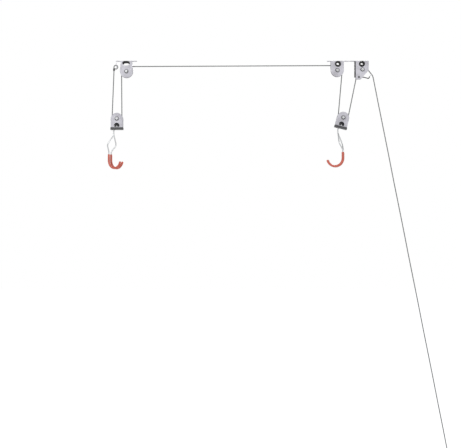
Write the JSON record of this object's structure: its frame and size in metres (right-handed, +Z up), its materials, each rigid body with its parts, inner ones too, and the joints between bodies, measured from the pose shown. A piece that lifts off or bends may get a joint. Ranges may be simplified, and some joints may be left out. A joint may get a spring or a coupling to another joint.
{
  "type": "ceiling hoist",
  "caption": "Ceiling bicycle hoist: rope over a rear and a front ceiling bracket, two pulley blocks with coated hooks, a cam rope lock with a lever eye, and a tail made fast to a wall cleat.",
  "frame": {"origin": "on the ceiling face, midway between the two screw holes of the front bracket", "axes": "+X along the rope from the rear bracket to the front one, +Z up into the ceiling, +Y away from the viewer"},
  "size_m": [1.3875, 0.0732, 1.666],
  "materials": {
    "bracket_paint": "light grey powder coat, fine texture",
    "black_rubber": "matt black",
    "dark_steel": "dark grey satin paint",
    "zinc_steel": "bright zinc plate",
    "spring_steel": "drawn spring wire",
    "black_nylon": "moulded black nylon",
    "bush_bronze": "sintered bronze",
    "rope": "grey braided cord",
    "cleat_metal": "cast, tumbled",
    "hook_wire": "bright zinc plate",
    "hook_coat": "soft dipped vinyl, orange-red"
  },
  "bodies": {
    "base": {"rear_bracket": "bracket_paint", "rear_window_trim": "black_rubber", "front_bracket": "bracket_paint", "window_grommets": "black_rubber", "lock_anvil_plate": "dark_steel", "rear_axle_bolt": "zinc_steel", "front_axle_bolt": "zinc_steel", "lock_axle_bolt": "zinc_steel", "ceiling_axle_washers": "dark_steel", "ceiling_axle_nuts": "zinc_steel", "cam_pivot_pin": "dark_steel", "cam_spring": "spring_steel", "rope_anchor_loop": "rope", "rear_fall_left": "rope", "rear_fall_right": "rope", "rope_span": "rope", "front_fall_left": "rope", "front_fall_right": "rope", "rope_lock_run": "rope", "rope_eye_drop": "rope", "rope_tail": "rope", "rope_cleat_turns": "rope", "rope_tail_knot": "rope", "wall_cleat": "cleat_metal"},
    "rear_wheel": {"rear_sheave": "black_nylon", "rear_sheave_bush": "bush_bronze"},
    "front_wheel": {"front_sheave": "black_nylon", "front_sheave_bush": "bush_bronze"},
    "lock_wheel": {"lock_sheave": "black_nylon", "lock_sheave_bush": "bush_bronze"},
    "lever": {"cam_lever": "dark_steel", "lever_eye": "zinc_steel"},
    "rear_carriage": {"rear_rope_bight": "rope"},
    "rear_block": {"rear_block_frame": "bracket_paint", "rear_block_base": "dark_steel", "rear_block_bolt": "zinc_steel", "rear_block_washers": "dark_steel", "rear_block_nut": "zinc_steel", "rear_block_spacer": "black_nylon", "rear_block_rivet": "zinc_steel"},
    "rear_block_wheel": {"rear_block_sheave": "black_nylon", "rear_block_bush": "bush_bronze"},
    "front_carriage": {"front_rope_bight": "rope"},
    "front_block": {"front_block_frame": "bracket_paint", "front_block_base": "dark_steel", "front_block_bolt": "zinc_steel", "front_block_washers": "dark_steel", "front_block_nut": "zinc_steel", "front_block_spacer": "black_nylon", "front_block_rivet": "zinc_steel"},
    "front_block_wheel": {"front_block_sheave": "black_nylon", "front_block_bush": "bush_bronze"},
    "rear_near": {"rear_near_hook": "hook_wire", "rear_near_hook_coat": "hook_coat"},
    "rear_far": {"rear_far_hook": "hook_wire", "rear_far_hook_coat": "hook_coat"},
    "front_near": {"front_near_hook": "hook_wire", "front_near_hook_coat": "hook_coat"},
    "front_far": {"front_far_hook": "hook_wire", "front_far_hook_coat": "hook_coat"}
  },
  "joints": [
    {"name": "rear_lift", "type": "slide", "parent": "base", "child": "rear_carriage", "axis": [0, 0, 1], "range_m": [-1.5, 0.11], "deforming": ["rear_fall_left", "rear_fall_right"]},
    {"name": "front_lift", "type": "slide", "parent": "base", "child": "front_carriage", "axis": [0, 0, 1], "range_m": [-1.5, 0.11], "deforming": ["front_fall_left", "front_fall_right"]},
    {"name": "rear_swing", "type": "hinge", "parent": "rear_carriage", "child": "rear_block", "pos_m": [-0.888, 0, -0.231], "axis": [0, 1, 0], "range_deg": [-25, 25]},
    {"name": "front_swing", "type": "hinge", "parent": "front_carriage", "child": "front_block", "pos_m": [0.016, 0, -0.227], "axis": [0, 1, 0], "range_deg": [-35, 12]},
    {"name": "rear_wheel_spin", "type": "hinge", "parent": "base", "child": "rear_wheel", "pos_m": [-0.85, 0, -0.042], "axis": [0, 1, 0], "continuous": true},
    {"name": "front_wheel_spin", "type": "hinge", "parent": "base", "child": "front_wheel", "pos_m": [-0.007, 0, -0.038], "axis": [0, 1, 0], "continuous": true},
    {"name": "lock_wheel_spin", "type": "hinge", "parent": "base", "child": "lock_wheel", "pos_m": [0.093, 0, -0.035], "axis": [0, 1, 0], "continuous": true},
    {"name": "rear_block_wheel_spin", "type": "hinge", "parent": "rear_carriage", "child": "rear_block_wheel", "pos_m": [-0.888, 0, -0.231], "axis": [0, 1, 0], "continuous": true},
    {"name": "front_block_wheel_spin", "type": "hinge", "parent": "front_carriage", "child": "front_block_wheel", "pos_m": [0.016, 0, -0.227], "axis": [0, 1, 0], "continuous": true},
    {"name": "lock_release", "type": "hinge", "parent": "base", "child": "lever", "pos_m": [0.079, 0, -0.065], "axis": [0, 1, 0], "range_deg": [0, 15], "stiffness_Nm_per_rad": 0.05, "springref_deg": -17.19, "deforming": ["cam_spring", "rope_lock_run", "rope_eye_drop"]},
    {"name": "rear_near_swivel", "type": "hinge", "parent": "rear_block", "child": "rear_near", "pos_m": [-0.901, -0.0053, -0.26299], "axis": [0, 0, 1], "range_deg": [-30, 15]},
    {"name": "rear_far_swivel", "type": "hinge", "parent": "rear_block", "child": "rear_far", "pos_m": [-0.901, 0.0053, -0.26299], "axis": [0, 0, 1], "range_deg": [-15, 30]},
    {"name": "front_near_swivel", "type": "hinge", "parent": "front_block", "child": "front_near", "pos_m": [-0.00435, -0.0053, -0.25489], "axis": [0, 0, 1], "range_deg": [-15, 30]},
    {"name": "front_far_swivel", "type": "hinge", "parent": "front_block", "child": "front_far", "pos_m": [-0.00435, 0.0053, -0.25489], "axis": [0, 0, 1], "range_deg": [-30, 15]}
  ],
  "couplings": [
    {"joint": "front_lift", "follows": "rear_lift", "ratio": 1},
    {"joint": "rear_wheel_spin", "follows": "rear_lift", "rad_per_m": 101.52},
    {"joint": "front_wheel_spin", "follows": "rear_lift", "rad_per_m": 101.52},
    {"joint": "lock_wheel_spin", "follows": "rear_lift", "rad_per_m": 232.56},
    {"joint": "rear_block_wheel_spin", "follows": "rear_lift", "rad_per_m": -50.761},
    {"joint": "front_block_wheel_spin", "follows": "rear_lift", "rad_per_m": -152.28}
  ]
}
